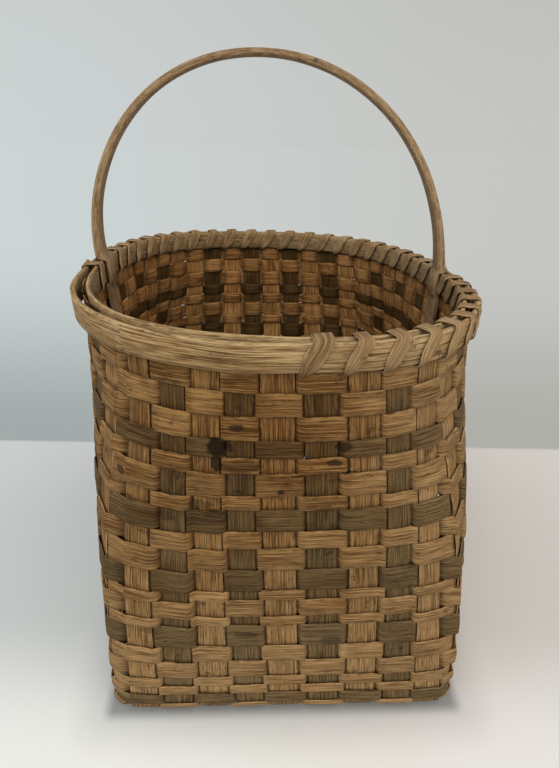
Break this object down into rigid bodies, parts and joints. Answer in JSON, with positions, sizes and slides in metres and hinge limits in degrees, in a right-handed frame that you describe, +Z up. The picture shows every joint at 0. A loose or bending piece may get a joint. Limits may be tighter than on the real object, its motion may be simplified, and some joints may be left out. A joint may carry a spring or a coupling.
{
  "type": "gathering basket",
  "caption": "Woven split oak basket with a rectangular base, an oval lashed rim and a fixed bow handle across its width.",
  "frame": {"origin": "on the ground under the middle of the rim", "axes": "+Z up, +X to the right along the handle's span, -Y towards the end of the basket that faces the viewer"},
  "size_m": [0.3036, 0.3789, 0.4541],
  "materials": {
    "light_oak": "dry, worn, matt",
    "stained_oak": "dry, stained, matt",
    "hoop_oak": "dry, shaved, matt",
    "lashing_oak": "dry, worn, matt",
    "handle_oak": "dry, hand worn, slight sheen"
  },
  "bodies": {
    "root": {"long_stake_1": "light_oak", "long_stake_2": "stained_oak", "long_stake_3": "light_oak", "long_stake_4": "stained_oak", "long_stake_5": "light_oak", "long_stake_6": "stained_oak", "long_stake_7": "light_oak", "long_stake_8": "stained_oak", "long_stake_9": "light_oak", "cross_stake_01": "light_oak", "cross_stake_02": "stained_oak", "cross_stake_03": "light_oak", "cross_stake_04": "stained_oak", "cross_stake_05": "light_oak", "cross_stake_06": "stained_oak", "cross_stake_07": "light_oak", "cross_stake_08": "stained_oak", "cross_stake_09": "light_oak", "cross_stake_10": "stained_oak", "cross_stake_11": "light_oak", "cross_stake_12": "stained_oak", "cross_stake_13": "light_oak", "cross_stake_14": "stained_oak", "cross_stake_15": "light_oak", "weaver_01": "light_oak", "weaver_02": "light_oak", "weaver_03": "light_oak", "weaver_04": "stained_oak", "weaver_05": "light_oak", "weaver_06": "light_oak", "weaver_07": "light_oak", "weaver_08": "stained_oak", "weaver_09": "light_oak", "weaver_10": "light_oak", "weaver_11": "stained_oak", "weaver_12": "light_oak", "weaver_13": "light_oak", "weaver_14": "light_oak", "weaver_15": "stained_oak", "weaver_16": "light_oak", "weaver_17": "light_oak", "weaver_18": "light_oak", "weaver_19": "light_oak", "weaver_20": "stained_oak", "weaver_21": "light_oak", "outer_rim_hoop": "hoop_oak", "inner_rim_hoop": "hoop_oak", "rim_lashing": "lashing_oak", "handle": "handle_oak"}
  },
  "joints": []
}
